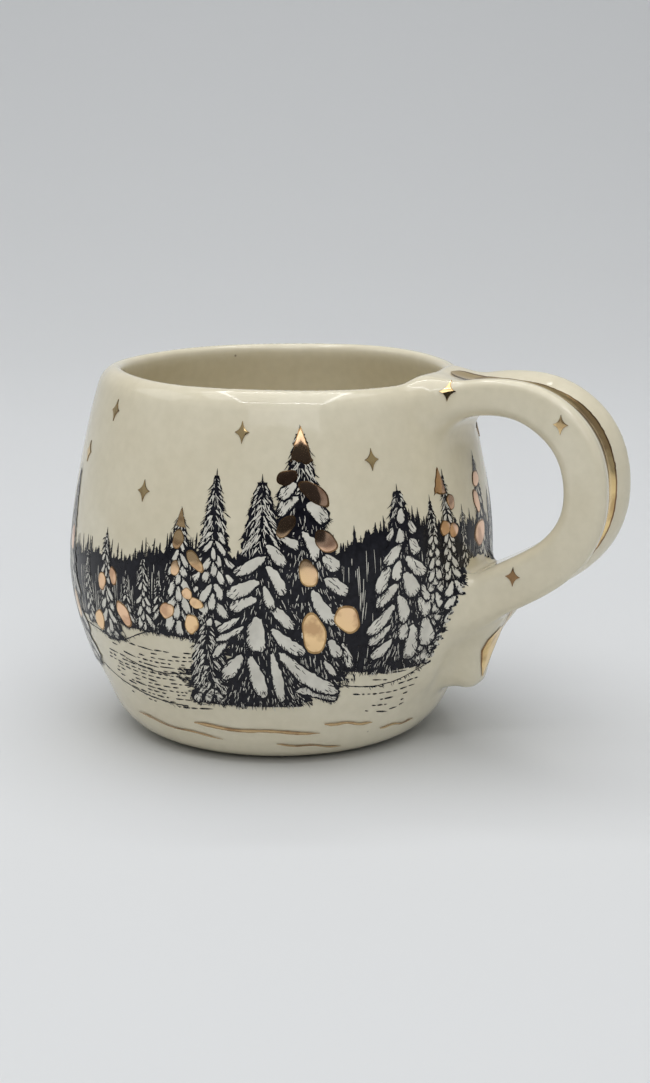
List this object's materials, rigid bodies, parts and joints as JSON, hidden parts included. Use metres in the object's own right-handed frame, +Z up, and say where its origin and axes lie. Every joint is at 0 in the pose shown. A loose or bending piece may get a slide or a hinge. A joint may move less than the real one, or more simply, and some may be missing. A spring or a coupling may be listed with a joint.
{
  "type": "stoneware mug",
  "caption": "Bellied handmade mug with a thick lip, a double-roll strap handle, a winter forest print and gilded stars.",
  "frame": {"origin": "middle of the flat underside of the base", "axes": "+X from the mug's axis towards the handle, +Y across the handle, +Z up the mug's axis"},
  "size_m": [0.1367, 0.1036, 0.0894],
  "materials": {
    "glazed_stoneware": "glossy clear glaze over cream clay",
    "bare_clay": "matt unglazed fired clay",
    "gold_lustre": "mirror-bright fired gold lustre",
    "print_ink": "blue-black transfer ink under gloss glaze"
  },
  "bodies": {
    "root": {"body_wall": "glazed_stoneware", "base_slab": "bare_clay", "handle_strap": "glazed_stoneware", "groove_gilding": "gold_lustre", "tail_gilding": "gold_lustre", "forest_print": "print_ink", "snow_stroke_01": "gold_lustre", "snow_stroke_02": "gold_lustre", "snow_stroke_03": "gold_lustre", "snow_stroke_04": "gold_lustre", "snow_stroke_05": "gold_lustre", "snow_stroke_06": "gold_lustre", "snow_stroke_07": "gold_lustre", "snow_stroke_08": "gold_lustre", "snow_stroke_09": "gold_lustre", "wall_star_01": "gold_lustre", "wall_star_02": "gold_lustre", "wall_star_03": "gold_lustre", "wall_star_04": "gold_lustre", "wall_star_05": "gold_lustre", "wall_star_06": "gold_lustre", "wall_star_07": "gold_lustre", "wall_star_08": "gold_lustre", "wall_star_09": "gold_lustre", "wall_star_10": "gold_lustre", "wall_star_11": "gold_lustre", "wall_star_12": "gold_lustre", "handle_star_near_01": "gold_lustre", "handle_star_near_02": "gold_lustre", "handle_star_near_03": "gold_lustre", "handle_star_far_01": "gold_lustre", "handle_star_far_02": "gold_lustre", "handle_star_far_03": "gold_lustre"}
  },
  "joints": []
}
